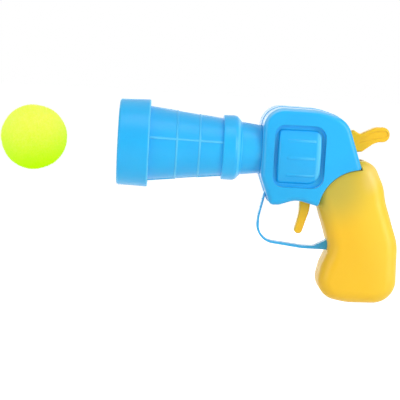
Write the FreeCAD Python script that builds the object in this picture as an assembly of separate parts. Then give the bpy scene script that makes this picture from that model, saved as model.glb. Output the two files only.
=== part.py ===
"""Toy launcher for soft pet balls: a tapered barrel, a two-part frame, a two-part grip and a
thumb-cocked, trigger-released spring plunger.

Millimetres. The origin is the centre of the muzzle's mouth. +X runs back along the bore to the
thumb hammer, +Z is up, and -Y is the left-hand side of the launcher. Outline corners are
(x, z, radius). The frame's and the grip's are measured from the frame's front face and the bore's
axis, and those of the levers from the pins that they turn on."""

import FreeCAD
import Part
import math
import os

Vector = FreeCAD.Vector

# Ball and barrel
ball_radius = 20.0
ball_clearance = 0.5
ball_flight = 50.6
seat_clearance = 0.3
barrel_wall = 2.1
bore_length = 16.0
barrel_length = 85.8
neck_radius = 14.5
neck_in_frame = 4.8
flange_width = 2.2
flange_height = 1.1
rear_wall = 2.0

# Muzzle ring, raised bands and collar
ring_length = 18.7
ring_lip = 1.6
ring_wall_front = 3.2
ring_wall_rear = 3.7
ring_edge = 1.6
ring_rear_edge = 0.9
ring_gap = 0.1
band_places = (34.9, 48.5)
band_width = 1.3
band_height = 0.4
faint_band_height = 0.15
band_angle = 12.9
band_rows = 4
collar_start = 62.5
collar_length = 8.2
collar_chamfer = 3.2
collar_height = 2.3
collar_edge = 0.9
collar_shoulder = 4.0

# Frame shells. The right-hand one stands a little proud at the seam.
frame_half = 18.0
frame_wall = 2.0
frame_edge = 3.0
seam_chamfer = 0.25
seam_step = 0.35
fit_gap = 0.15
frame_outline = (
    (0.0, 26.3, 12.0),
    (32.8, 26.0, 40.0),
    (49.7, 21.1, 15.0),
    (61.4, -11.7, 0.0),
    (43.1, -33.3, 0.0),
    (22.0, -27.9, 14.0),
    (12.0, -31.4, 6.0),
    (6.4, -31.7, 3.0),
    (0.0, -15.0, 8.0),
)

# Round boundary where the grip meets the frame
joint_x = 61.4
joint_drop = 34.2
joint_radius = 26.2
joint_gap = 0.4
joint_corner = 1.2

# Ribbed drum relief that stands in the window of each frame shell
window_outline = ((6.9, 16.4, 6.0), (37.4, 16.4, 7.0), (37.4, -20.6, 7.0), (6.9, -20.6, 6.0))
window_depth = 3.2
drum_outline = ((9.4, 13.8, 2.2), (34.9, 13.8, 4.5), (34.9, -18.3, 7.5), (9.4, -18.3, 2.2))
drum_proud = 0.8
drum_radius = 40.0
drum_edge = 1.5
rib_radius = 1.6
rib_height = 0.35
rib_spacing = 10.2
rib_drop = 0.6
rib_start = 6.1
rib_end = 21.3

# Tongue of the frame inside the grip
tongue_half = 9.0
tongue_outline = (
    (34.8, -24.0, 0.0),
    (42.8, -14.0, 0.0),
    (54.8, -10.5, 0.0),
    (62.8, -11.8, 3.0),
    (66.5, -40.0, 20.0),
    (69.0, -75.0, 4.0),
    (47.5, -75.0, 4.0),
    (46.0, -50.0, 15.0),
    (40.6, -36.0, 5.0),
    (37.6, -26.6, 0.0),
)

# Grip shells
grip_half = 15.5
grip_wall = 2.2
grip_edge = 8.0
grip_outline = (
    (44.0, -4.0, 9.0),
    (67.5, -3.1, 10.0),
    (74.8, -18.3, 25.0),
    (76.5, -27.3, 40.0),
    (85.5, -52.1, 30.0),
    (86.6, -88.5, 14.0),
    (57.3, -89.5, 45.0),
    (36.5, -85.9, 12.5),
    (40.3, -67.4, 16.0),
    (44.6, -56.6, 12.0),
    (30.5, -15.4, 9.0),
)

# Hammer
hammer_pin_x = 49.9
hammer_pin_drop = 22.0
hammer_pin_radius = 2.0
hammer_half = 4.0
hammer_hub_radius = 6.0
hammer_travel = 20.0
hammer_edge = 1.0
hammer_gap = 0.4
hammer_outline = (
    (-4.4, 2.1, 0.0),
    (-4.6, 6.1, 3.0),
    (-8.4, 17.7, 4.0),
    (-7.7, 27.5, 4.0),
    (-1.0, 30.4, 6.0),
    (5.0, 37.1, 1.2),
    (9.3, 34.5, 2.0),
    (17.9, 39.0, 10.0),
    (27.2, 39.6, 4.3),
    (27.2, 30.5, 4.3),
    (19.2, 30.2, 10.0),
    (11.1, 24.0, 1.2),
    (4.8, 23.4, 1.8),
    (2.3, 17.8, 3.0),
    (5.9, 3.2, 0.0),
)
spur_step = 0.4
spur_step_outline = (
    (6.8, 27.4, 0.6),
    (11.2, 30.2, 8.0),
    (26.4, 34.0, 1.2),
    (26.0, 37.0, 2.0),
    (19.0, 37.0, 8.0),
    (9.6, 31.8, 1.0),
)
hammer_slot = (0.2, 17.6, 13.5, 38.6)
grip_notch = (8.0, 12.0, 15.9, 20.0)
sear_notch_depth = 1.6
sear_notch_width = 3.0
sear_notch_angle = 11.0
pin_fit = 0.08

# Plunger, pad, guide bush and the link to the hammer
pad_radius = 11.5
pad_thickness = 2.5
pad_edge = 1.0
pad_clearance = 0.5
head_radius = 13.0
head_thickness = 3.0
head_edge = 0.5
rod_radius = 3.0
tail_half = 2.0
tail_height = 4.0
tail_front = 11.0
tail_rear = 3.2
tail_edge = 2.5
fork_gap = 0.3
fork_front = 14.4
fork_rear = 3.9
fork_below = 2.4
fork_above = 1.6
link_pin_radius = 1.4
link_pin_half = 4.2
link_slot_gap = 0.1
bush_radius = 5.5
bush_flange_radius = 10.0
bush_flange = 2.0
bush_behind = 4.0

# Springs
main_wire = 0.6
main_spring_radius = 6.8
main_turns = 10
trigger_wire = 0.3
trigger_spring_radius = 2.4
trigger_turns = 6
spring_end_gap = 0.1
spring_post_length = 1.5
spring_post_gap = 0.5

# Trigger
trigger_pin_x = 33.0
trigger_pin_drop = 27.0
trigger_pin_radius = 1.5
trigger_pin_half = 9.0
trigger_half = 3.5
trigger_edge = 1.2
trigger_gap = 0.5
lever_half = 3.0
trigger_hub_radius = 3.1
blade_outline = (
    (-7.6, 2.3, 3.0),
    (-7.5, -10.1, 25.0),
    (-10.5, -22.8, 2.4),
    (-5.4, -22.6, 2.4),
    (-1.4, -8.5, 20.0),
    (-0.8, 2.3, 3.0),
)
lever_outline = (
    (-6.2, -3.0, 1.5),
    (0.6, -3.0, 1.0),
    (3.2, 1.6, 2.0),
    (10.6, 5.6, 0.6),
    (8.8, 7.8, 0.6),
    (2.4, 4.4, 3.0),
    (-0.5, 15.0, 1.0),
    (-3.9, 15.0, 1.0),
    (-3.9, 7.0, 6.0),
    (-4.6, 1.4, 3.0),
    (-6.2, 1.4, 0.6),
)
trigger_spring_height = 11.8
trigger_spring_length = 12.5
trigger_slot = (-9.8, 0.8, -9.0, 1.2)

# Guard strap
guard_half = 3.0
guard_gap = 0.15
guard_outline = (
    (5.0, -19.0, 0.0),
    (0.4, -40.9, 30.0),
    (-0.2, -55.3, 11.5),
    (28.5, -58.6, 20.0),
    (46.8, -58.6, 0.0),
    (47.5, -50.4, 0.0),
    (35.6, -56.8, 5.0),
    (28.6, -56.9, 20.0),
    (2.0, -54.2, 9.5),
    (1.6, -40.5, 29.0),
    (6.2, -19.0, 0.0),
)

# Screws, at (x, z) from the frame's front face and the bore's axis
screw_radius = 1.45
screw_hole_gap = 0.25
pilot_gap = 0.02
screw_head_radius = 2.8
screw_head = 2.0
screw_head_edge = 0.8
screw_sink = 1.5
head_well_gap = 0.4
boss_wall = 1.5
frame_screw_places = ((11.0, 20.9), (39.5, 17.2), (12.5, -25.4))
frame_screw_reach = 8.0
grip_screw_places = ((60.0, -38.0), (61.0, -69.0))
grip_screw_reach = 12.0
screw_tip_gap = 1.0
recess_length = 3.5
recess_width = 0.8
recess_depth = 1.1

# Values that follow from those above
bore_radius = ball_radius + ball_clearance
muzzle_radius = bore_radius + barrel_wall
cone_slope = (muzzle_radius - neck_radius) / (barrel_length - bore_length)
seated_radius = (ball_radius + seat_clearance) / math.cos(math.atan(cone_slope))
ball_seat = bore_length + (bore_radius - seated_radius) / cone_slope
pad_face = ball_seat + ball_radius + pad_clearance
head_face = pad_face + pad_thickness
spring_seat = head_face + head_thickness
barrel_end = barrel_length + neck_in_frame
bush_face = barrel_end - rear_wall - bush_flange
joint_z = -joint_drop
hammer_x = barrel_length + hammer_pin_x
hammer_pin_z = -hammer_pin_drop
trigger_x = barrel_length + trigger_pin_x
trigger_pin_z = -trigger_pin_drop
link_height = hammer_pin_drop
link_swing = math.radians(hammer_travel / 2)
link_x = hammer_x - link_height * math.tan(link_swing)
plunger_travel = 2 * link_height * math.tan(link_swing)
far = 2 * joint_radius + 2 * frame_half
overshoot = 1.0
small = 1e-4


def cone_radius(x):
    """Outer radius of the barrel's cone at a distance behind the muzzle."""
    return muzzle_radius - cone_slope * (x - bore_length)


def outline(corners, y, x0, z0):
    """Closed wire at y through (x, z, radius) corners, with a tangent arc at each."""
    points = [Vector(x0 + x, y, z0 + z) for x, z, r in corners]
    count = len(points)
    bends = []
    for i, point in enumerate(points):
        before = (points[i - 1] - point).normalize()
        after = (points[(i + 1) % count] - point).normalize()
        half = before.getAngle(after) / 2
        radius = corners[i][2]
        back = radius / math.tan(half)
        inwards = (before + after).normalize()
        middle = point + inwards * (radius / math.sin(half) - radius)
        bends.append((point + before * back, middle, point + after * back))
    edges = []
    for i, (start, middle, end) in enumerate(bends):
        following = bends[(i + 1) % count][0]
        if corners[i][2] > 0:
            edges.append(Part.Arc(start, middle, end).toShape())
        edges.append(Part.LineSegment(end, following).toShape())
    return Part.Wire(edges)


def plate(corners, y0, y1, grow=0.0, x0=barrel_length, z0=0.0):
    """Solid between two values of y with that outline, grown or shrunk all round."""
    low, high = sorted((y0, y1))
    face = Part.Face(outline(corners, low, x0, z0))
    if grow:
        face = face.makeOffset2D(grow, 0, False, False, False)
    return face.extrude(Vector(0, high - low, 0))


def rod(x0, x1, radius, z=0.0):
    """Cylinder along X."""
    return Part.makeCylinder(radius, x1 - x0, Vector(x0, 0, z), Vector(1, 0, 0))


def pin(x, z, radius, y0, y1):
    """Cylinder along Y."""
    low, high = sorted((y0, y1))
    return Part.makeCylinder(radius, high - low, Vector(x, low, z), Vector(0, 1, 0))


def block(x0, x1, y0, y1, z0, z1):
    """Box between two corners."""
    low, high = sorted((y0, y1))
    return Part.makeBox(x1 - x0, high - low, z1 - z0, Vector(x0, low, z0))


def turned(profile):
    """Solid of revolution about the bore's axis from (x, radius) points."""
    points = [Vector(x, 0, r) for x, r in profile]
    wire = Part.makePolygon(points + points[:1])
    return Part.Face(wire).revolve(Vector(0, 0, 0), Vector(1, 0, 0), 360)


def circle_radius(edge):
    """Radius of a round edge, and 0 for any other."""
    return getattr(edge.Curve, "Radius", 0.0)


def rounded_at(solid, y, radius):
    """The solid with the edges that lie at y rounded."""
    edges = [
        edge
        for edge in solid.Edges
        if abs(edge.CenterOfMass.y - y) < small
        and all(abs(v.Y - y) < small for v in edge.Vertexes)
    ]
    return solid.makeFillet(radius, edges)


def grip_disc(y0, y1, grow=0.0):
    """The round space that the grip takes from the frame."""
    return pin(barrel_length + joint_x, joint_z, joint_radius + grow, y0, y1)


def muzzle_ring():
    """Stout ring over the barrel's mouth, with an inner lip on the barrel's end."""
    seat = muzzle_radius + ring_gap
    ring = turned(
        (
            (0, bore_radius),
            (0, muzzle_radius + ring_wall_front),
            (ring_length, muzzle_radius + ring_wall_rear),
            (ring_length, seat),
            (ring_lip, seat),
            (ring_lip, bore_radius),
        )
    )
    for x, radius in ((0, ring_edge), (ring_length, ring_rear_edge)):
        rim = [
            edge
            for edge in ring.Edges
            if abs(edge.CenterOfMass.x - x) < small and circle_radius(edge) > seat + small
        ]
        ring = ring.makeFillet(radius, rim)
    return ring


def barrel():
    """Tapered tube from the muzzle to a flange that the frame shells trap."""
    inner_end = barrel_end - rear_wall
    neck_inside = neck_radius - barrel_wall
    solid = turned(
        (
            (ring_lip, bore_radius),
            (ring_lip, muzzle_radius),
            (bore_length, muzzle_radius),
            (barrel_length, neck_radius),
            (barrel_end - flange_width, neck_radius),
            (barrel_end - flange_width, neck_radius + flange_height),
            (barrel_end, neck_radius + flange_height),
            (barrel_end, bush_radius + fit_gap),
            (inner_end, bush_radius + fit_gap),
            (inner_end, neck_inside),
            (barrel_length, neck_inside),
            (bore_length, bore_radius),
        )
    )
    solid = solid.fuse(collar())
    for x in band_places:
        solid = solid.fuse(ring_band(x))
    stops = (ring_length + ring_gap,) + band_places + (collar_start + band_width,)
    for row in range(band_rows):
        angle = band_angle + 360.0 / band_rows * row
        for i, (x0, x1) in enumerate(zip(stops, stops[1:])):
            height = band_height if i % 2 == 0 else faint_band_height
            solid = solid.fuse(long_band(x0, x1, height, angle))
    return solid.removeSplitter()


def collar():
    """Raised collar near the barrel's rear, with a sloping rear shoulder."""
    crest = cone_radius(collar_start) + collar_height
    end = collar_start + collar_length
    foot = end + collar_chamfer
    inside = barrel_wall / 2
    ring = turned(
        (
            (collar_start, cone_radius(collar_start) - inside),
            (collar_start, crest),
            (end, crest),
            (foot, cone_radius(foot)),
            (foot, cone_radius(foot) - inside),
        )
    )
    for x, radius in ((collar_start, collar_edge), (end, collar_shoulder)):
        rim = [
            edge
            for edge in ring.Edges
            if abs(edge.CenterOfMass.x - x) < small and abs(circle_radius(edge) - crest) < small
        ]
        ring = ring.makeFillet(radius, rim)
    return ring


def ring_band(x):
    """Thin raised band round the cone."""
    half = band_width / 2
    inside = cone_radius(x) - barrel_wall / 2
    crest = cone_radius(x) + band_height
    return turned(
        (
            (x - half, inside),
            (x - half, cone_radius(x - half)),
            (x - half / 2, crest),
            (x + half / 2, crest),
            (x + half, cone_radius(x + half)),
            (x + half, inside),
        )
    )


def long_band(x0, x1, height, angle):
    """Thin raised band along the cone, turned about the bore's axis."""
    half = band_width / 2
    sections = []
    for x in (x0, x1):
        foot = cone_radius(x) - barrel_wall / 2
        shoulder = cone_radius(x) + height / 4
        crest = cone_radius(x) + height
        corners = (
            (foot, -half),
            (shoulder, -half),
            (crest, -half / 2),
            (crest, half / 2),
            (shoulder, half),
            (foot, half),
        )
        points = [Vector(x, -r, z) for r, z in corners]
        sections.append(Part.makePolygon(points + points[:1]))
    strip = Part.makeLoft(sections, True, True)
    strip.rotate(Vector(0, 0, 0), Vector(1, 0, 0), -angle)
    return strip


def guide_bush():
    """Flanged bush in the barrel's rear wall. It guides the rod and seats the main spring."""
    end = barrel_end + bush_behind
    bush = rod(bush_face, bush_face + bush_flange, bush_flange_radius)
    bush = bush.fuse(rod(bush_face, end, bush_radius))
    hole = rod(bush_face - overshoot, end + overshoot, rod_radius + pin_fit)
    return bush.cut(hole).removeSplitter()


def plunger():
    """Striker head, rod and flat tail with the link pin's hole."""
    head = rod(head_face, spring_seat, head_radius)
    head = head.makeFillet(head_edge, [e for e in head.Edges if circle_radius(e) > 0])
    front, rear = link_x - tail_front, link_x + tail_rear
    shaft = rod(spring_seat - head_thickness / 2, front + tail_half, rod_radius)
    tail = block(front, rear, -tail_half, tail_half, -tail_height, tail_height)
    corners = [
        edge
        for edge in tail.Edges
        if abs(edge.CenterOfMass.y) < small and edge.CenterOfMass.x > link_x
    ]
    tail = tail.makeFillet(tail_edge, corners)
    hole = pin(link_x, 0, link_pin_radius, -far, far)
    return head.fuse(shaft).fuse(tail).cut(hole).removeSplitter()


def plunger_pad():
    """Soft pad glued to the striker's face."""
    pad = rod(pad_face, head_face, pad_radius)
    front = [edge for edge in pad.Edges if abs(edge.CenterOfMass.x - pad_face) < small]
    return pad.makeFillet(pad_edge, front)


def link_pin():
    """Steel pin in the plunger's tail that runs in the hammer's slots."""
    return pin(link_x, 0, link_pin_radius, -link_pin_half, link_pin_half)


def tangent_arc(start, along, end):
    """Arc from start to end that leaves start in a given direction."""
    chord = end - start
    across = (chord - along * chord.dot(along)).normalize()
    radius = chord.dot(chord) / (2 * chord.dot(across))
    centre = start + across * radius
    out = ((start + end) * 0.5 - centre).normalize()
    return Part.Arc(start, centre + out * radius, end).toShape()


def quarter_turn(start, end, leaving, arriving):
    """Two arcs that join tangentially between two points and their directions."""
    gap = end - start
    both = leaving + arriving
    spread = 2 * (1 - leaving.dot(arriving))
    reach = (math.sqrt(gap.dot(both) ** 2 + spread * gap.dot(gap)) - gap.dot(both)) / spread
    first, second = start + leaving * reach, end - arriving * reach
    join = (first + second) * 0.5
    along = (second - first).normalize()
    return [tangent_arc(start, leaving, join), tangent_arc(join, along, end)]


def coil(name, x0, x1, radius, wire, turns, z=0.0):
    """Open compression spring along X: one tube with straight ends and quarter-turn arcs."""
    straight = 2 * wire
    last = turns * 2 * math.pi
    rate = (x1 - x0 - 2 * wire) / (last + 2 * straight / radius)

    def place(angle):
        round_y, round_z = radius * math.cos(angle), radius * math.sin(angle)
        return Vector(x0 + wire + rate * (angle + straight / radius), round_y, z + round_z)

    def heading(angle):
        return Vector(rate, -radius * math.sin(angle), radius * math.cos(angle)).normalize()

    lead = place(0) - heading(0) * straight
    tail = place(last) + heading(last) * straight
    edges = [Part.LineSegment(lead, place(0)).toShape()]
    for i in range(turns * 4):
        a, b = i * math.pi / 2, (i + 1) * math.pi / 2
        edges += quarter_turn(place(a), place(b), heading(a), heading(b))
    edges.append(Part.LineSegment(place(last), tail).toShape())
    path = Part.Wire(edges)
    section = Part.Wire(Part.makeCircle(wire, lead, heading(0)))
    spring = path.makePipeShell([section], True, False)
    report_coil(name, path, radius, wire, spring.Volume)
    return spring


def report_coil(name, path, radius, wire, volume):
    """Print the least gap between turns, measured on points, and the tube's volume ratio."""
    per_turn = 36
    count = int(path.Length / (2 * math.pi * radius) * per_turn)
    points = path.discretize(Number=count)
    apart = [
        (p - q).Length
        for i, p in enumerate(points)
        for q in points[i + per_turn // 2 : i + 2 * per_turn]
    ]
    ratio = volume / (math.pi * wire**2 * path.Length)
    print(name, "least gap to itself", round(min(apart) - 2 * wire, 3), "volume ratio", round(ratio, 4))


def main_spring():
    """Compression spring from the guide bush to the striker head."""
    start, end = spring_seat + spring_end_gap, bush_face - spring_end_gap
    return coil("main_spring", start, end, main_spring_radius, main_wire, main_turns)


def frame_plate(side, y0, y1, grow=0.0):
    """Plate with the outline of that side's frame shell."""
    return plate(frame_outline, y0, y1, grow + (seam_step if side > 0 else 0.0))


def frame_body(side):
    """Outer body of one frame shell, up to the round boundary, with its tongue."""
    face = side * frame_half
    body = rounded_at(frame_plate(side, 0, face), face, frame_edge)
    seam = [edge for edge in body.Edges if all(abs(v.Y) < small for v in edge.Vertexes)]
    body = body.makeChamfer(seam_chamfer, seam)
    body = body.cut(grip_disc(-far, far))
    corner = max(
        (edge for edge in body.Edges if is_across(edge)), key=lambda edge: edge.CenterOfMass.x
    )
    body = body.makeFillet(joint_corner, [corner])
    return body.fuse(plate(tongue_outline, 0, side * tongue_half))


def frame_hollow(side):
    """Hollow of one frame shell, inside its walls, its window's backing and its tongue."""
    depth = side * (frame_half - frame_wall)
    inside = plate(frame_outline, -side, depth, -frame_wall)
    hollow = inside.cut(grip_disc(-far, far, frame_wall))
    window_floor = side * (frame_half - window_depth)
    backing_face = window_floor - side * frame_wall
    hollow = hollow.cut(plate(window_outline, backing_face, depth, frame_wall))
    hollow = hollow.fuse(plate(drum_outline, -side, window_floor, -frame_wall))
    reach = side * (tongue_half - frame_wall)
    passage = inside.common(grip_disc(0, reach, 2 * frame_wall))
    return hollow.fuse(passage).fuse(plate(tongue_outline, -side, reach, -frame_wall))


def drum_relief(side):
    """Ribbed half drum that stands in the window."""
    floor = frame_half - window_depth
    crest = frame_half + drum_proud
    heights = [z for x, z, r in drum_outline]
    middle = (max(heights) + min(heights)) / 2
    start = barrel_length + drum_outline[0][0]
    axis = Vector(barrel_length, side * (crest - drum_radius), middle)
    dome = Part.makeCylinder(drum_radius, far, axis, Vector(1, 0, 0))
    drum = plate(drum_outline, side * (floor - frame_wall / 2), side * far).common(dome)
    rim = [
        edge
        for edge in drum.Edges
        if abs(edge.CenterOfMass.y) > floor + small and edge.BoundBox.DiagonalLength > small
        and not is_across(edge)
    ]
    drum = drum.makeFillet(drum_edge, rim)
    for row in (-1, 0, 1):
        drum = drum.fuse(rib(side, start, axis, row))
    return drum


def is_across(edge):
    """True for a straight edge along Y."""
    ends = [v.Point for v in edge.Vertexes]
    return len(ends) == 2 and abs(abs(ends[1].y - ends[0].y) - edge.Length) < small


def rib(side, start, axis, row):
    """Low rib with round ends along the drum."""
    tilt = math.asin((row * rib_spacing - rib_drop) / drum_radius)
    reach = drum_radius + rib_height - rib_radius
    y = axis.y + side * reach * math.cos(tilt)
    z = axis.z + reach * math.sin(tilt)
    ends = [Vector(start + x, y, z) for x in (rib_start, rib_end)]
    bar = Part.makeCylinder(rib_radius, rib_end - rib_start, ends[0], Vector(1, 0, 0))
    for end in ends:
        bar = bar.fuse(Part.makeSphere(rib_radius, end))
    return bar


def guard_strip(grow=0.0):
    """Strap of the guard, thin in front, from inside the frame to its flare inside the grip."""
    half = guard_half + grow
    return plate(guard_outline, -half, half, grow)


def screw_boss_radius(side):
    """Radius of a screw's boss: the driven, right-hand one also holds the head's well."""
    widest = head_well_gap + screw_head_radius if side > 0 else screw_hole_gap + screw_radius
    return widest + boss_wall


def screw_way(x, z, side, face, reach):
    """Head well and clearance hole on the right-hand side, pilot hole on the left."""
    if side < 0:
        return pin(x, z, screw_radius + pilot_gap, far, -reach - screw_tip_gap)
    seat = face - screw_head - screw_sink
    well = pin(x, z, screw_head_radius + head_well_gap, seat, far)
    return well.fuse(pin(x, z, screw_radius + screw_hole_gap, -far, seat))


def frame_bosses(side):
    """Bosses for the screws and pins, and the ribs behind the barrel and the trigger's spring."""
    inner = side * (frame_half - frame_wall / 2)
    tongue_inner = side * (tongue_half - frame_wall / 2)
    wall = boss_wall + frame_wall / 4
    parts = [
        pin(barrel_length + x, z, screw_boss_radius(side), 0, inner) for x, z in frame_screw_places
    ]
    parts += [
        pin(barrel_length + x, z, screw_boss_radius(-1), 0, tongue_inner)
        for x, z in grip_screw_places
    ]
    trigger_boss = pin(
        trigger_x, trigger_pin_z, trigger_pin_radius + wall, side * (trigger_half + trigger_gap), inner
    )
    parts.append(trigger_boss.cut(grip_disc(side * tongue_half, side * far)))
    parts.append(
        pin(
            hammer_x, hammer_pin_z, hammer_pin_radius + wall, side * (hammer_half + hammer_gap),
            tongue_inner,
        )
    )
    parts.append(barrel_stop(inner))
    parts.append(spring_stop(side))
    return parts


def barrel_stop(inner):
    """Rib behind the barrel's flange, cut away round the bush."""
    start = barrel_end + fit_gap
    end = start + frame_wall
    rib = block(start, end, 0, inner, -neck_radius, neck_radius)
    return rib.cut(rod(start - overshoot, end + overshoot, bush_radius + frame_wall))


def spring_post_radius():
    """Radius of the studs that hold the ends of the trigger's spring."""
    return trigger_spring_radius - trigger_wire - spring_post_gap


def spring_ends():
    """Front and rear seats of the trigger's spring, and its height."""
    rear = trigger_x + min(x for x, z, r in lever_outline if z > trigger_spring_height)
    return rear - trigger_spring_length, rear, trigger_pin_z + trigger_spring_height


def spring_stop(side):
    """Rib with a stud that the trigger's spring pushes against."""
    x, rear, z = spring_ends()
    reach = trigger_spring_radius + trigger_wire + frame_wall / 2
    depth = side * (frame_half - window_depth - frame_wall / 2)
    rib = block(x - frame_wall, x, 0, depth, z - reach, z + reach)
    stud = rod(x - frame_wall / 2, x + spring_post_length, spring_post_radius(), z)
    return rib.fuse(stud.common(block(x - frame_wall, rear, 0, depth, z - reach, z + reach)))


def pin_hole(x, z, radius, half):
    """Hole of a pin that both shells hold."""
    return pin(x, z, radius + pin_fit, -half - pin_fit, half + pin_fit)


def frame_shell(side):
    """One frame shell with its drum, tongue, bosses and slots."""
    window_floor = side * (frame_half - window_depth)
    body = frame_body(side).cut(plate(window_outline, window_floor, side * far))
    shell = body.fuse(drum_relief(side)).cut(frame_hollow(side))
    for part in frame_bosses(side):
        shell = shell.fuse(part.common(body))
    tongue_inner = tongue_half - frame_wall / 2
    flange = barrel_end - flange_width - fit_gap
    cutters = [
        rod(0, barrel_end, neck_radius + fit_gap),
        rod(flange, barrel_end + fit_gap, neck_radius + flange_height + fit_gap),
        guard_strip(guard_gap),
        lever_slot(hammer_slot, hammer_x, hammer_pin_z, hammer_half + hammer_gap),
        lever_slot(trigger_slot, trigger_x, trigger_pin_z, trigger_half + trigger_gap),
        pin(
            trigger_x, trigger_pin_z, trigger_hub_radius + trigger_gap,
            -trigger_half - trigger_gap, trigger_half + trigger_gap,
        ),
        pin_hole(trigger_x, trigger_pin_z, trigger_pin_radius, trigger_pin_half),
        pin_hole(hammer_x, hammer_pin_z, hammer_pin_radius, tongue_inner),
    ]
    for x, z in frame_screw_places:
        cutters.append(screw_way(barrel_length + x, z, side, frame_half, frame_screw_reach))
    for x, z in grip_screw_places:
        cutters.append(pin(barrel_length + x, z, screw_radius + screw_hole_gap, -far, far))
    for cutter in cutters:
        shell = shell.cut(cutter)
    return shell.removeSplitter()


def lever_slot(corners, pin_x, pin_z, half):
    """Slot in a shell that a lever passes through, placed from the lever's pin."""
    x0, x1, z0, z1 = corners
    return block(pin_x + x0, pin_x + x1, -half, half, pin_z + z0, pin_z + z1)


def hammer():
    """Thumb hammer: hub, slotted fork and stepped spur."""
    lever = plate(hammer_outline, -hammer_half, hammer_half, 0, hammer_x, hammer_pin_z)
    hub = pin(hammer_x, hammer_pin_z, hammer_hub_radius, -hammer_half, hammer_half)
    lever = lever.fuse(hub).removeSplitter()
    for side in (-1, 1):
        face = side * hammer_half
        lever = rounded_at(lever, face, hammer_edge)
    for side in (-1, 1):
        depth = side * (hammer_half - spur_step)
        lever = lever.cut(
            plate(spur_step_outline, depth, side * far, 0, hammer_x, hammer_pin_z)
        )
    lever = lever.cut(pin(hammer_x, hammer_pin_z, hammer_pin_radius + pin_fit, -far, far))
    half = tail_half + fork_gap
    low, high = -tail_height - fork_below, tail_height + fork_above
    lever = lever.cut(block(hammer_x - fork_front, hammer_x + fork_rear, -half, half, low, high))
    return lever.cut(link_slot()).cut(sear_notch()).removeSplitter()


def link_slot():
    """Slot across the fork, along the crank's radius."""
    width = link_pin_radius + link_slot_gap
    low = hammer_pin_z + link_height - link_slot_gap
    high = hammer_pin_z + link_height / math.cos(link_swing) + link_slot_gap
    slot = pin(hammer_x, low, width, -far, far).fuse(pin(hammer_x, high, width, -far, far))
    slot = slot.fuse(block(hammer_x - width, hammer_x + width, -far, far, low, high))
    axis = Vector(hammer_x, 0, hammer_pin_z)
    slot.rotate(axis, Vector(0, 1, 0), -math.degrees(link_swing))
    return slot


def sear_notch():
    """Notch in the hub that faces the trigger's nose once the hammer is cocked."""
    bottom = hammer_x - hammer_hub_radius + sear_notch_depth
    half = sear_notch_width / 2
    notch = block(
        bottom - hammer_hub_radius, bottom, -far, far, hammer_pin_z - half, hammer_pin_z + half
    )
    axis = Vector(hammer_x, 0, hammer_pin_z)
    notch.rotate(axis, Vector(0, 1, 0), sear_notch_angle - hammer_travel)
    return notch


def hammer_pin():
    """Steel pin that the hammer turns on."""
    half = tongue_half - frame_wall / 2
    return pin(hammer_x, hammer_pin_z, hammer_pin_radius, -half, half)


def trigger():
    """Finger blade, sear nose and spring lug in one lever."""
    blade = plate(blade_outline, -trigger_half, trigger_half, 0, trigger_x, trigger_pin_z)
    for side in (-1, 1):
        blade = rounded_at(blade, side * trigger_half, trigger_edge)
    lever = plate(lever_outline, -lever_half, lever_half, 0, trigger_x, trigger_pin_z)
    hub = pin(trigger_x, trigger_pin_z, trigger_hub_radius, -lever_half, lever_half)
    front, rear, z = spring_ends()
    stud = rod(rear - spring_post_length, rear + frame_wall / 2, spring_post_radius(), z)
    hole = pin(trigger_x, trigger_pin_z, trigger_pin_radius + pin_fit, -far, far)
    return blade.fuse(lever).fuse(hub).fuse(stud).cut(hole).removeSplitter()


def trigger_pin():
    """Steel pin that the trigger turns on."""
    half = trigger_pin_half
    return pin(trigger_x, trigger_pin_z, trigger_pin_radius, -half, half)


def trigger_spring():
    """Compression spring from the frame's rib to the trigger's lug."""
    front, rear, z = spring_ends()
    start, end = front + spring_end_gap, rear - spring_end_gap
    return coil(
        "trigger_spring", start, end, trigger_spring_radius, trigger_wire, trigger_turns, z
    )


def grip_shell(side):
    """One grip shell round the frame's tongue, cut along the round boundary."""
    face = side * grip_half
    inner = side * (grip_half - grip_wall)
    shell = rounded_at(plate(grip_outline, 0, face), face, grip_edge)
    hollow = plate(grip_outline, -side, inner, -grip_wall)
    shell = shell.cut(rounded_at(hollow, inner, grip_edge - grip_wall))
    for x, z in grip_screw_places:
        start, end = side * (tongue_half + fit_gap), side * (grip_half - grip_wall / 2)
        shell = shell.fuse(pin(barrel_length + x, z, screw_boss_radius(side), start, end))
    frame_space = frame_plate(side, -far, far, joint_gap)
    shell = shell.cut(frame_space.cut(grip_disc(-far, far, -joint_gap)))
    shell = shell.cut(guard_strip(guard_gap))
    shell = shell.cut(lever_slot(grip_notch, hammer_x, hammer_pin_z, hammer_half + hammer_gap))
    shell = shell.cut(pin_hole(trigger_x, trigger_pin_z, trigger_pin_radius, trigger_pin_half))
    for x, z in grip_screw_places:
        shell = shell.cut(screw_way(barrel_length + x, z, side, grip_half, grip_screw_reach))
    return shell.removeSplitter()


def screw(x, z, face, reach):
    """Pan-head screw with a cross recess, driven from the right-hand side."""
    seat = face - screw_head - screw_sink
    top = seat + screw_head
    head = pin(x, z, screw_head_radius, seat, top)
    rim = [edge for edge in head.Edges if abs(edge.CenterOfMass.y - top) < small]
    solid = head.makeFillet(screw_head_edge, rim).fuse(pin(x, z, screw_radius, -reach, seat))
    long, wide = recess_length / 2, recess_width / 2
    for a, b in ((long, wide), (wide, long)):
        solid = solid.cut(block(x - a, x + a, top - recess_depth, far, z - b, z + b))
    return solid.removeSplitter()


def screws(places, face, reach):
    """A group of like screws."""
    return Part.makeCompound([screw(barrel_length + x, z, face, reach) for x, z in places])


def plush_ball():
    """Soft ball in front of the muzzle, on the bore's axis."""
    return Part.makeSphere(ball_radius, Vector(-ball_flight, 0, 0))


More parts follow.
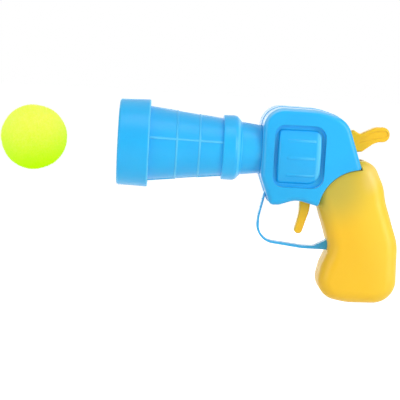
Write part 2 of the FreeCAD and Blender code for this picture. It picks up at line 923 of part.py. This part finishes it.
PARTS = {
    "frame_left": lambda: frame_shell(-1),
    "frame_right": lambda: frame_shell(1),
    "barrel": barrel,
    "muzzle_ring": muzzle_ring,
    "guide_bush": guide_bush,
    "plunger": plunger,
    "plunger_pad": plunger_pad,
    "main_spring": main_spring,
    "link_pin": link_pin,
    "hammer": hammer,
    "hammer_pin": hammer_pin,
    "trigger": trigger,
    "trigger_pin": trigger_pin,
    "trigger_spring": trigger_spring,
    "trigger_guard": guard_strip,
    "grip_left": lambda: grip_shell(-1),
    "grip_right": lambda: grip_shell(1),
    "frame_screws": lambda: screws(frame_screw_places, frame_half, frame_screw_reach),
    "grip_screws": lambda: screws(grip_screw_places, grip_half, grip_screw_reach),
    "plush_ball": plush_ball,
}


def main():
    os.makedirs("parts", exist_ok=True)
    for name, make in PARTS.items():
        shape = make()
        shape.exportStep("parts/" + name + ".step")
        print(name, len(shape.Solids), shape.isValid(), round(shape.Volume, 1))
    print("hammer pin at", hammer_x, hammer_pin_z, "trigger pin at", trigger_x, trigger_pin_z)
    print("plunger travel", round(plunger_travel, 4), "ball travel", ball_flight + ball_seat)


main()
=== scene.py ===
import math

import bmesh
import bpy
import numpy as np
from mathutils import Matrix, Vector


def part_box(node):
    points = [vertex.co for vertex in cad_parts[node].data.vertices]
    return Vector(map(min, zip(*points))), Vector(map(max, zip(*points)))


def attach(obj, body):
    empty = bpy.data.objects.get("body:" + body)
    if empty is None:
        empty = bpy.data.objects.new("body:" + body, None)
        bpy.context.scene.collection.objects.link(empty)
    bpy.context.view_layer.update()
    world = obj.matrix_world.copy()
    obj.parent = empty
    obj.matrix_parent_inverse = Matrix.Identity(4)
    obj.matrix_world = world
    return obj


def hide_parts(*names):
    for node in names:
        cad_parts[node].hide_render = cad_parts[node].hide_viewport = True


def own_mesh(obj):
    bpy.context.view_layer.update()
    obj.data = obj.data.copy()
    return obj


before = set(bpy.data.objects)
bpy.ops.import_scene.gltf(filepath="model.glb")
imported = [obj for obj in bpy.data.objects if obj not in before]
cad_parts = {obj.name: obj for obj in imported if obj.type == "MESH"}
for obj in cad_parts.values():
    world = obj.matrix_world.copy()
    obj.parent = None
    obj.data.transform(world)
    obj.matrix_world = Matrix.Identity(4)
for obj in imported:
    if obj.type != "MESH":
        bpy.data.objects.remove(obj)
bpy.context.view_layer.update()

# Frame: two moulded shells of sky-blue ABS, screwed together at the middle seam.
# The mould's spark-eroded walls leave a fine grain and a soft gloss. The groove round the drum in the
# window is painted a deeper blue as shade, and the drum's ribs, its rear edge and the frame's top edge
# have painted highlights.
mm = 0.001
smooth = {"interpolation_type": "SMOOTHSTEP"}
rgba = {"data_type": "RGBA", "out": 2}


def colour(code):
    """Linear colour from an sRGB hex value such as 2FA8E8."""
    parts = [int(code[i : i + 2], 16) / 255 for i in (0, 2, 4)]
    return tuple(p / 12.92 if p <= 0.04045 else ((p + 0.055) / 1.055) ** 2.4 for p in parts) + (1,)


def fit(tree, sockets, values):
    """Puts values on sockets, by name or in order: a node's output is linked, the rest is set."""
    for key, value in values.items() if isinstance(values, dict) else enumerate(values):
        if isinstance(value, bpy.types.NodeSocket):
            tree.links.new(value, sockets[key])
        else:
            sockets[key].default_value = value


def add(tree, kind, values=(), out=0, **settings):
    """Adds one shader node with its settings and inputs, and returns one of its outputs."""
    node = tree.nodes.new("ShaderNode" + kind)
    for key, value in settings.items():
        setattr(node, key, value)
    fit(tree, node.inputs, values)
    return node.outputs[out]


def blank_finish(name):
    """New material, its node tree, its shader's sockets and the place on the object in metres."""
    material = bpy.data.materials.new(name)
    material.use_nodes = True
    tree = material.node_tree
    return material, tree, tree.nodes["Principled BSDF"].inputs, add(tree, "TexCoord", out="Object")


def moulded_plastic(name, base, deep, rough):
    """Moulded plastic, whose base colour drifts slowly towards a deeper one with fine flecks.

    Its roughness is cloudy round the given one, with faint long rubs. Its surface has shallow sink
    marks 30 mm apart and a spark-eroded grain of 0.35 mm, which is coarser than the real one so
    that it shows. Sharp edges are rounded by 0.6 mm.
    """
    material, tree, shader, place = blank_finish(name)
    clouds = add(tree, "TexNoise", {"Vector": place, "Scale": 1 / (35 * mm), "Detail": 2})
    drift = add(tree, "MapRange", (clouds, 0.35, 0.7, 0.0, 0.55), **smooth)
    grains = add(tree, "TexNoise", {"Vector": place, "Scale": 1 / (1.2 * mm), "Detail": 2})
    fleck = add(tree, "MapRange", (grains, 0.45, 0.8, 0.0, 0.25), **smooth)
    share = add(tree, "Math", (drift, fleck), operation="ADD")
    tone = add(tree, "Mix", {0: share, 6: base, 7: deep}, **rgba)
    long_way = add(tree, "VectorMath", (place, (0.25, 1, 6)), operation="MULTIPLY")
    streaks = add(tree, "TexNoise", {"Vector": long_way, "Scale": 1 / (4 * mm), "Detail": 4})
    rubs = add(tree, "MapRange", (streaks, 0.56, 0.75, 0.0, 0.12), **smooth)
    patches = add(tree, "TexNoise", {"Vector": place, "Scale": 1 / (12 * mm), "Detail": 3})
    haze = add(tree, "MapRange", (patches, 0.3, 0.7, rough - 0.04, rough + 0.05), **smooth)
    normal = add(tree, "Bevel", {"Radius": 0.6 * mm}, samples=6)
    for size, detail, depth, strength in ((30, 1, 0.6, 0.12), (0.35, 2, 0.04, 0.35)):
        relief = add(tree, "TexNoise", {"Vector": place, "Scale": 1 / (size * mm), "Detail": detail})
        bump = {"Strength": strength, "Distance": depth * mm, "Height": relief, "Normal": normal}
        normal = add(tree, "Bump", bump)
    fit(tree, shader, {
        "Base Color": tone, "Roughness": add(tree, "Math", (haze, rubs), operation="ADD"),
        "IOR": 1.5, "Subsurface Weight": 0.06, "Subsurface Scale": 4 * mm,
        "Coat Weight": 0.15, "Coat Roughness": 0.25, "Normal": normal,
    })
    return material, tree, shader, place, tone


def from_centre(tree, place, centre, stretch):
    """Distance from a centre given in mm, multiplied along each axis by its stretch."""
    centre = [value * mm for value in centre]
    offset = add(tree, "VectorMath", (place, centre), operation="SUBTRACT")
    offset = add(tree, "VectorMath", (offset, stretch), operation="MULTIPLY")
    return add(tree, "VectorMath", (offset,), "Value", operation="LENGTH")


def dress(material, *nodes):
    """Gives the material to CAD nodes."""
    for node in nodes:
        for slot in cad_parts[node].material_slots:
            slot.material = material


# highlight_sky is the paler blue of the painted highlights
sky, deep_sky, highlight_sky = colour("04BAFA"), colour("04AEF4"), colour("6CDCFF")
shell_rough = 0.36
shell_abs, tree, shader, place, tone = moulded_plastic("ribbed_blue_abs", sky, deep_sky, shell_rough)
x, y, z = add(tree, "SeparateXYZ", (place,)).node.outputs

# The drum's surface lies drum_radius from an axis that is drum_axis beyond the middle plane.
# The share of a tone at a point follows how far the point stands proud of that surface.
drum_radius, drum_axis = 40 * mm, 21.2 * mm
drum_centre = (108, 0, -2.25)
depth = add(tree, "Math", (y,), operation="ABSOLUTE")
across = add(tree, "Math", (depth, drum_axis), operation="ADD")
above = add(tree, "Math", (z, drum_centre[2] * mm), operation="SUBTRACT")
to_axis = add(tree, "CombineXYZ", (0.0, across, above))
to_axis = add(tree, "VectorMath", (to_axis,), "Value", operation="LENGTH")
proud = add(tree, "Math", (to_axis, drum_radius), operation="SUBTRACT")
from_drum = from_centre(tree, place, drum_centre, (1.25, 0, 1))

# The frame is painted a little deeper in tone towards its front and its foot, as shade
forward = add(tree, "VectorMath", (place, (0.6, 0, 0.8)), "Value", operation="DOT_PRODUCT")
front_shade = add(tree, "MapRange", (forward, 40 * mm, 76 * mm, 0.35, 0.0), **smooth)
tone = add(tree, "Mix", {0: front_shade, 6: tone, 7: colour("0098D4")}, **rgba)

# The groove is what lies inside the window, behind the drum and behind the frame's face. It is painted
# a deeper blue, as shade in the recess
groove_shade = add(tree, "MapRange", (from_drum, 21.5 * mm, 22.5 * mm, 1.0, 0.0), **smooth)
groove_shade = add(tree, "MapRange", (proud, -0.7 * mm, -0.2 * mm, groove_shade, 0.0), **smooth)
groove_shade = add(tree, "MapRange", (depth, 17.2 * mm, 17.8 * mm, groove_shade, 0.0), **smooth)
tone = add(tree, "Mix", {0: groove_shade, 6: tone, 7: colour("00B4EA")}, **rgba)

# The top edge, outside the window, has a painted highlight where it faces upwards and forwards
faces_to = add(tree, "TexCoord", out="Normal")
faces_to = add(tree, "VectorMath", (faces_to, (-0.5, 0, 0.85)), "Value", operation="DOT_PRODUCT")
top_edge_highlight = add(tree, "MapRange", (faces_to, 0.3, 0.7, 0.0, 0.4), **smooth)
top_edge_highlight = add(tree, "MapRange", (from_drum, 21.5 * mm, 22.5 * mm, 0.0, top_edge_highlight), **smooth)
tone = add(tree, "Mix", {0: top_edge_highlight, 6: tone, 7: colour("B4E2FA")}, **rgba)

# Painted highlights on the ribs, strongest at their rear ends, and on the drum's rear edge
rib_highlight = add(tree, "MapRange", (x, 103 * mm, 117 * mm, 0.0, 0.35), **smooth)
rib_highlight = add(tree, "MapRange", (proud, 0.1 * mm, 0.3 * mm, 0.0, rib_highlight), **smooth)
rib_highlight = add(tree, "MapRange", (from_drum, 15.5 * mm, 16.0 * mm, rib_highlight, 0.0), **smooth)
beside = add(tree, "Math", (above,), operation="ABSOLUTE")
rear_edge_highlight = add(tree, "MapRange", (beside, 15.0 * mm, 15.8 * mm, 0.5, 0.0), **smooth)
rear_edge_highlight = add(tree, "MapRange", (proud, -1.2 * mm, -0.4 * mm, 0.0, rear_edge_highlight), **smooth)
from_edge = from_centre(tree, place, (119.4, 0, drum_centre[2]), (1, 0, 0.04))
rear_edge_highlight = add(tree, "MapRange", (from_edge, 0.6 * mm, 2.2 * mm, rear_edge_highlight, 0.0), **smooth)
highlight_share = add(tree, "Math", (rib_highlight, rear_edge_highlight), operation="MAXIMUM")
fit(tree, shader, {"Base Color": add(tree, "Mix", {0: highlight_share, 6: tone, 7: highlight_sky}, **rgba)})
dress(shell_abs, "frame_left", "frame_right")

# Barrel: a tapered tube of the same sky-blue ABS, moulded with thin bands and a rear collar, and
# held in the frame by a flange. The bands and the collar's shoulder have painted highlights, the bands
# less so towards the top, and the neck is painted a deeper blue where the frame shades it.
barrel_abs, tree, shader, place, tone = moulded_plastic("banded_blue_abs", sky, deep_sky, shell_rough)
x, _, z = add(tree, "SeparateXYZ", (place,)).node.outputs
cone_slope, cone_mouth_radius = 0.11605, 24.457 * mm
from_axis = from_centre(tree, place, (0, 0, 0), (0, 1, 1))
above_cone = add(tree, "Math", (x, cone_slope, from_axis), operation="MULTIPLY_ADD")
proud = add(tree, "Math", (above_cone, cone_mouth_radius), operation="SUBTRACT")
# Painted highlights on the bands, fading towards the top, and on the collar's shoulder
band_highlight = add(tree, "MapRange", (z, 4 * mm, 16 * mm, 0.5, 0.125), **smooth)
band_highlight = add(tree, "MapRange", (proud, 0.05 * mm, 0.15 * mm, 0.0, band_highlight), **smooth)
band_highlight = add(tree, "MapRange", (proud, 0.5 * mm, 0.7 * mm, band_highlight, 0.0), **smooth)
from_shoulder = from_centre(tree, place, (71.9, 0, 0), (1, 0, 0))
shoulder_highlight = add(tree, "MapRange", (from_shoulder, 0.3 * mm, 1.2 * mm, 0.7, 0.0), **smooth)
shoulder_highlight = add(tree, "MapRange", (proud, 0.4 * mm, 0.9 * mm, 0.0, shoulder_highlight), **smooth)
highlight_share = add(tree, "Math", (band_highlight, shoulder_highlight), operation="ADD")
neck = add(tree, "MapRange", (x, 80 * mm, 88 * mm, 0.0, 0.4), **smooth)
tone = add(tree, "Mix", {0: neck, 6: tone, 7: colour("0084BE")}, **rgba)
fit(tree, shader, {"Base Color": add(tree, "Mix", {0: highlight_share, 6: tone, 7: highlight_sky}, **rgba)})
dress(barrel_abs, "barrel")

# Muzzle ring: a stout ring of the same sky-blue ABS, pushed over the barrel's mouth.
# Its rear rim has a painted highlight.
ring_abs, tree, shader, place, tone = moulded_plastic("sky_blue_abs", sky, deep_sky, shell_rough)
x = add(tree, "SeparateXYZ", (place,))
rim_highlight = add(tree, "MapRange", (x, 17.4 * mm, 18.1 * mm, 0.0, 0.45), **smooth)
fit(tree, shader, {"Base Color": add(tree, "Mix", {0: rim_highlight, 6: tone, 7: highlight_sky}, **rgba)})
dress(ring_abs, "muzzle_ring")

# Plunger and guide bush: undyed nylon, moulded, and matt beside the shells. The plunger's rod slides
# in the bush, which sits in the barrel's rear wall.
nylon = moulded_plastic("natural_nylon", colour("E8E6DC"), colour("DAD7CA"), 0.5)[0]
dress(nylon, "plunger", "guide_bush")

# Striker's pad: a disc of black closed-cell foam rubber, glued to the plunger's face.
# Its cells of about 0.6 mm give it a matt, pitted skin.
foam, tree, shader, place = blank_finish("foam_rubber")
cells = add(tree, "TexNoise", {"Vector": place, "Scale": 1 / (0.6 * mm), "Detail": 2})
tone = add(tree, "Mix", {0: cells, 6: colour("1C1D20"), 7: colour("34363A")}, **rgba)
pits = add(tree, "Bump", {"Strength": 0.8, "Distance": 0.2 * mm, "Height": cells})
fit(tree, shader, {"Base Color": tone, "Roughness": 0.85, "Normal": pits})
dress(foam, "plunger_pad")

# Pins and screws: three pins of ground steel, faintly marked along their length. Both frame shells
# hold two of them, and the third joins the plunger's tail to the hammer's fork. Five pan-head screws
# hold the shells together, and their zinc plating is a paler, mottled grey.


def marked_steel(name, light, dark, rough, stretch):
    """Steel whose tone, roughness and relief follow marks 0.8 mm apart.

    They are coarser than the real ones, so that they show. A stretch below 1 draws them out along
    its axis.
    """
    material, tree, shader, place = blank_finish(name)
    drawn = add(tree, "VectorMath", (place, stretch), operation="MULTIPLY")
    marks = add(tree, "TexNoise", {"Vector": drawn, "Scale": 1 / (0.8 * mm), "Detail": 3})
    tone = add(tree, "Mix", {0: marks, 6: colour(light), 7: colour(dark)}, **rgba)
    haze = add(tree, "MapRange", (marks, 0.3, 0.7, rough - 0.06, rough + 0.1), **smooth)
    ridges = add(tree, "Bump", {"Strength": 0.4, "Distance": 0.02 * mm, "Height": marks})
    fit(tree, shader, {"Base Color": tone, "Metallic": 1.0, "Roughness": haze, "Normal": ridges})
    return material


ground_steel = marked_steel("ground_steel", "C9CCD1", "A9ADB4", 0.3, (1, 0.1, 1))
dress(ground_steel, "link_pin", "hammer_pin", "trigger_pin")
zinc_plate = marked_steel("zinc_plate", "D2D4D8", "A2A6AE", 0.36, (1, 1, 1))
dress(zinc_plate, "frame_screws", "grip_screws")

# Springs: the main spring behind the striker and the small one in front of the trigger, both wound
# from drawn steel wire and faintly streaked. They are welded copies of their solids.
scene = bpy.context.scene
spring_wire = marked_steel("spring_wire", "B9BCC4", "8F939C", 0.28, (0.3, 1, 1))


def spring(node):
    """Welded, smooth-shaded copy of a coil in spring wire, attached to the launcher in place of the
    coil.
    """
    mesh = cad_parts[node].data.copy()
    weld = bmesh.new()
    weld.from_mesh(mesh)
    bmesh.ops.remove_doubles(weld, verts=weld.verts, dist=0.001 * mm)
    weld.to_mesh(mesh)
    weld.free()
    mesh.shade_smooth()
    mesh.set_sharp_from_angle(angle=math.radians(40))
    mesh.materials.clear()
    mesh.materials.append(spring_wire)
    coil = bpy.data.objects.new(node + "_coil", mesh)
    scene.collection.objects.link(coil)
    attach(coil, "launcher")
    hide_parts(node)
    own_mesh(coil)


spring("main_spring")

spring("trigger_spring")

# Hammer and trigger: orange-yellow ABS, moulded solid and a little glossier than the shells, because
# thumb and finger polish them. Each turns on its steel pin.
amber = moulded_plastic("amber_abs", colour("FCC808"), colour("F8BE08"), 0.34)[0]
dress(amber, "hammer", "trigger")

# Trigger guard: a thin strap of a greyer blue ABS, moulded to its curve and as glossy as the levers.
# It hooks into the frame in front and into the grip behind.
guard_abs = moulded_plastic("guard_blue_abs", colour("35B2EA"), colour("2DA6E0"), 0.34)[0]
dress(guard_abs, "trigger_guard")

# Grip: two shells of warm yellow ABS, moulded and screwed round the frame's tongue. The yellow
# turns olive towards its upper front, beside the frame. It has painted light towards the rear, and
# a painted highlight at the hump below the hammer.
grip_abs, tree, shader, place, tone = moulded_plastic(
    "warm_yellow_abs", colour("F8C408"), colour("F6BE06"), 0.46
)
# Painted light towards the rear, and a painted highlight at the hump
rearward = add(tree, "VectorMath", (place, (0.94, 0, 0.34)), "Value", operation="DOT_PRODUCT")
rear_light = add(tree, "MapRange", (rearward, 114 * mm, 142 * mm, 0.0, 0.7), **smooth)
tone = add(tree, "Mix", {0: rear_light, 6: tone, 7: colour("F9DA38")}, **rgba)
from_hump = from_centre(tree, place, (151.5, 0, -11), (1.2, 0.1, 0.7))
hump_highlight = add(tree, "MapRange", (from_hump, 2 * mm, 10 * mm, 0.4, 0.0), **smooth)
tone = add(tree, "Mix", {0: hump_highlight, 6: tone, 7: colour("FBDC90")}, **rgba)
from_tongue = from_centre(tree, place, (129, 0, -17), (1, 0.2, 0.9))
olive = add(tree, "MapRange", (from_tongue, 6 * mm, 30 * mm, 0.9, 0.0), **smooth)
fit(tree, shader, {"Base Color": add(tree, "Mix", {0: olive, 6: tone, 7: colour("C4B23C")}, **rgba)})
dress(grip_abs, "grip_left", "grip_right")

# Plush ball: a ball of polyester stuffing in a knitted backing with a short cut pile, both dyed a
# fluorescent yellow-green, with a painted glow, painted light on top and painted shade below. It is
# dented and sags slightly, so it is less high than it is wide. Every fibre is a narrow tapered ribbon
# that leans with its tuft.
ball_low, ball_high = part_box("plush_ball")
ball_centre = np.array((Vector(ball_low) + Vector(ball_high)) / 2)
ball_radius = (ball_high[0] - ball_low[0]) / 2
pile_length = 1.1 * mm
core_radius = ball_radius - pile_length
bore_room = 20.3 * mm
sag = np.array((1.0, 1.0, 0.98))
rng = np.random.default_rng(7)


def dyed_plush(name, lit_top, shaded_bottom, tip):
    """Matt cloth painted from the shaded bottom tone to the lit top one, with painted highlights on
    its tufts' tips.

    The tufts are 1.6 mm apart, and the rim underneath has specks of painted shade. The painted glow is
    an emission in the cloth's own tone.
    """
    material, tree, shader, place = blank_finish(name)
    # Painted light: paler towards the top, with painted highlights on the tufts' tips there
    upwards = add(tree, "VectorMath", (place, (-0.2, 0, 1)), "Value", operation="DOT_PRODUCT")
    height = add(tree, "MapRange", (upwards, -10 * mm, 24 * mm, 0.0, 1.0), **smooth)
    tufts = add(tree, "TexNoise", {"Vector": place, "Scale": 1 / (1.6 * mm), "Detail": 3})
    tips = add(tree, "MapRange", (tufts, 0.35, 0.7, 0.0, 0.3), **smooth)
    tips = add(tree, "MapRange", (upwards, -10 * mm, 24 * mm, 0.0, tips), **smooth)
    tone = add(tree, "Mix", {0: height, 6: colour(shaded_bottom), 7: colour(lit_top)}, **rgba)
    tone = add(tree, "Mix", {0: tips, 6: tone, 7: colour(tip)}, **rgba)
    # Painted shade: darker specks on the rim underneath
    downwards = add(tree, "VectorMath", (place, (0.35, 0, -0.94)), "Value", operation="DOT_PRODUCT")
    fluff = add(tree, "TexNoise", {"Vector": place, "Scale": 1 / (1.4 * mm), "Detail": 2})
    shade_specks = add(tree, "MapRange", (fluff, 0.42, 0.6, 0.0, 0.5), **smooth)
    shade_specks = add(tree, "MapRange", (downwards, 0.4 * mm, 2.4 * mm, 0.0, shade_specks), **smooth)
    tone = add(tree, "Mix", {0: shade_specks, 6: tone, 7: colour("6F9808")}, **rgba)
    knit = add(tree, "TexNoise", {"Vector": place, "Scale": 1 / (0.9 * mm), "Detail": 3})
    # The emission is a painted glow
    fit(tree, shader, {
        "Base Color": tone, "Roughness": 0.9, "Specular IOR Level": 0.1,
        "Emission Color": tone, "Emission Strength": 0.22,
        "Sheen Weight": 0.05, "Sheen Roughness": 0.5,
        "Normal": add(tree, "Bump", {"Strength": 0.7, "Distance": 0.5 * mm, "Height": knit}),
    })
    return material


def cloth_piece(name, points, faces, material):
    """Smooth-shaded object from arrays of points and faces."""
    mesh = bpy.data.meshes.new(name)
    mesh.from_pydata(points.tolist(), [], faces)
    mesh.materials.append(material)
    mesh.shade_smooth()
    mesh.update()
    made = bpy.data.objects.new(name, mesh)
    scene.collection.objects.link(made)
    return made


def spread(count):
    """Directions spread evenly on a sphere: equal steps in height, each turned by the golden angle."""
    step = np.arange(count) + 0.5
    height = 1 - 2 * step / count
    turn = step * math.pi * (3 - math.sqrt(5))
    ring = np.sqrt(1 - height**2)
    return np.stack((ring * np.cos(turn), ring * np.sin(turn), height), 1)


def dents(directions):
    """Unevenness of the stuffing in metres: a sum of seven sine waves, each 0.09 mm high.

    They run along spread axes, and each is a little quicker than the one before.
    """
    waves = [np.sin(directions @ axis * (5 + k) + k * 1.7) for k, axis in enumerate(spread(7))]
    return sum(waves) * 0.09 * mm


# The core is a sphere's grid of latitude and longitude, closed by a fan at each pole
rows, columns = 96, 160
latitude = np.linspace(0, math.pi, rows + 1)[1:-1]
longitude = np.linspace(0, 2 * math.pi, columns, endpoint=False)
lat, lon = np.meshgrid(latitude, longitude, indexing="ij")
shell = np.stack((np.sin(lat) * np.cos(lon), np.sin(lat) * np.sin(lon), np.cos(lat)), -1)
shell = np.vstack((shell.reshape(-1, 3), ((0, 0, 1), (0, 0, -1))))
row, column = np.meshgrid(np.arange(rows - 2), np.arange(columns), indexing="ij")
beside = (column + 1) % columns
quads = np.stack(
    (row * columns + column, (row + 1) * columns + column,
     (row + 1) * columns + beside, row * columns + beside), -1
).reshape(-1, 4)
first, second = column[0], beside[0]
north, south, last = (rows - 1) * columns, (rows - 1) * columns + 1, (rows - 2) * columns
north_fan = np.stack((np.full(columns, north), first, second), 1)
south_fan = np.stack((np.full(columns, south), last + second, last + first), 1)
core = cloth_piece(
    "ball_core",
    ball_centre + shell * sag * (core_radius + dents(shell))[:, None],
    quads.tolist() + north_fan.tolist() + south_fan.tolist(),
    dyed_plush("plush_backing", "E4FA58", "CCF200", "ECFF88"),
)

# A fibre grows outwards. It leans with its neighbours in waves 14 mm long, with its tuft in waves
# 2 mm long, and at random, and bends more towards its tip. A few are longer, and none is longer
# than the bore leaves room for.
fibres = 42000
out = spread(fibres) + rng.normal(0, 0.006, (fibres, 3))
out /= np.linalg.norm(out, axis=1)[:, None]
lean = np.stack([np.sin(out @ axis * 9 + k) for k, axis in enumerate(spread(3))], 1)
tufts = np.prod([np.sin(out @ axis * 60 + 2 * k) for k, axis in enumerate(spread(3))], 0)
lean = lean * 0.35 + rng.normal(0, 0.45, (fibres, 3)) + spread(5)[1] * tufts[:, None]
lean -= out * np.sum(lean * out, 1)[:, None]
side = np.cross(out, rng.normal(0, 1, (fibres, 3)))
side /= np.linalg.norm(side, axis=1)[:, None]
length = pile_length * (rng.uniform(0.6, 1.3, fibres) * (1 + 0.6 * tufts))[:, None]
length[rng.random(fibres) < 0.06] *= 1.7
length = np.minimum(length, (bore_room - core_radius - dents(out))[:, None])
width = 0.09 * mm * rng.uniform(0.7, 1.3, fibres)[:, None]
root_depth = 0.15 * mm
root = ball_centre + out * sag * (core_radius + dents(out) - root_depth)[:, None]
middle = root + out * length * 0.55 + lean * length * 0.22
tip = root + out * length + lean * length * 0.75
ribbon = np.stack(
    (root - side * width, root + side * width, middle + side * width * 0.8,
     middle - side * width * 0.8, tip), 1
).reshape(-1, 3)
start = np.arange(fibres) * 5
blades = np.stack((start, start + 1, start + 2, start + 3), 1)
tips = np.stack((start + 3, start + 2, start + 4), 1)
pile = cloth_piece(
    "ball_pile", ribbon, blades.tolist() + tips.tolist(),
    dyed_plush("plush_pile", "ECFF6C", "D2FA00", "F4FFA8"),
)
for piece in (core, pile):
    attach(piece, "ball")
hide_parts("plush_ball")

# Studio: a white surround that lights the object softly and is plain white where it is seen, a white
# paper floor well below the object that keeps its shadow, and four soft lamps
ambient_level = 0.42


def seen_directly(tree):
    """1 for rays that show the surround itself: straight, in a reflection or through glass."""
    ray = add(tree, "LightPath").node.outputs
    seen = add(tree, "Math", (ray["Is Camera Ray"], ray["Is Glossy Ray"]), operation="MAXIMUM")
    return add(tree, "Math", (seen, ray["Is Transmission Ray"]), operation="MAXIMUM")


white = (1, 1, 1, 1)
world = bpy.data.worlds.new("surround")
scene.world = world
world.use_nodes = True
tree = world.node_tree
ambient = tree.nodes["Background"]
fit(tree, ambient.inputs, (white, ambient_level))
backdrop = add(tree, "Background", (white, 1.0))
surround = add(tree, "MixShader", (seen_directly(tree), ambient.outputs[0], backdrop))
fit(tree, tree.nodes["World Output"].inputs, {"Surface": surround})

floor_mesh = bpy.data.meshes.new("floor")
half = 6.0
floor_mesh.from_pydata(
    [(-half, -half, 0), (half, -half, 0), (half, half, 0), (-half, half, 0)], [], [(0, 1, 2, 3)]
)
floor = bpy.data.objects.new("floor", floor_mesh)
floor.location = (0.05, 0.0, -0.2)
scene.collection.objects.link(floor)

# Under the surround the paper would be grey, so it glows up to full white where it is seen
paper, tree, shader, place = blank_finish("white_paper")
full_white, lit_by_surround = 1.02, 0.95
lift = full_white - ambient_level * lit_by_surround
fibre = add(tree, "TexNoise", {"Vector": place, "Scale": 1 / (2 * mm), "Detail": 3})
fit(tree, shader, {
    "Base Color": colour("FAFAFA"), "Roughness": 0.95, "Specular IOR Level": 0.1,
    "Emission Color": white,
    "Emission Strength": add(tree, "Math", (seen_directly(tree), lift), operation="MULTIPLY"),
    "Normal": add(tree, "Bump", {"Strength": 0.1, "Distance": 0.1 * mm, "Height": fibre}),
})
floor_mesh.materials.append(paper)
lamps_face = Vector((0.06, 0, -0.02))


def soft_lamp(name, place, size, power):
    """White rectangular lamp, size metres wide and high, that faces the middle of the object."""
    data = bpy.data.lights.new(name, "AREA")
    data.shape = "RECTANGLE"
    data.size, data.size_y = size
    data.energy = power
    lamp = bpy.data.objects.new(name, data)
    lamp.location = place
    way = lamps_face - Vector(place)
    lamp.rotation_euler = way.to_track_quat("-Z", "Y").to_euler()
    scene.collection.objects.link(lamp)


soft_lamp("key", (1.0, -0.85, 0.3), (0.7, 0.9), 7.2)
soft_lamp("overhead", (0.1, -0.45, 0.95), (1.1, 0.6), 2.9)
soft_lamp("fill", (-1.05, -0.85, 0.05), (0.9, 0.9), 4.9)
soft_lamp("back", (0.0, 1.3, 0.0), (1.2, 0.9), 3.5)

# Camera: 0.84 m away, looking a little down and turned a little towards the muzzle. The middle of
# the muzzle's mouth, which is the frame's origin, lies at muzzle_px in the 400 x 400 picture.
photo_size = 400
focal_px = 1400
step = 0.6014 * mm
yaw, drop, roll = math.radians(2.0), math.radians(6.5), math.radians(3.3)
muzzle_px = (118.3, 141.25)
ahead = Vector((
    math.sin(yaw) * math.cos(drop), math.cos(yaw) * math.cos(drop), -math.sin(drop)
))
level = Vector((math.cos(yaw), -math.sin(yaw), 0))
upright = level.cross(ahead)
right = level * math.cos(roll) + upright * math.sin(roll)
up = upright * math.cos(roll) - level * math.sin(roll)
aim = right * (photo_size / 2 - muzzle_px[0]) * step - up * (photo_size / 2 - muzzle_px[1]) * step
eye = aim - ahead * focal_px * step
sensor_mm = 36
data = bpy.data.cameras.new("camera")
data.sensor_width = sensor_mm
data.lens = sensor_mm * focal_px / photo_size
data.clip_start, data.clip_end = 0.05, 20
camera = bpy.data.objects.new("camera", data)
camera.matrix_world = Matrix(
    [[right[i], up[i], -ahead[i], eye[i]] for i in range(3)] + [[0, 0, 0, 1]]
)
scene.collection.objects.link(camera)
scene.camera = camera
scene.view_settings.view_transform = "Standard"
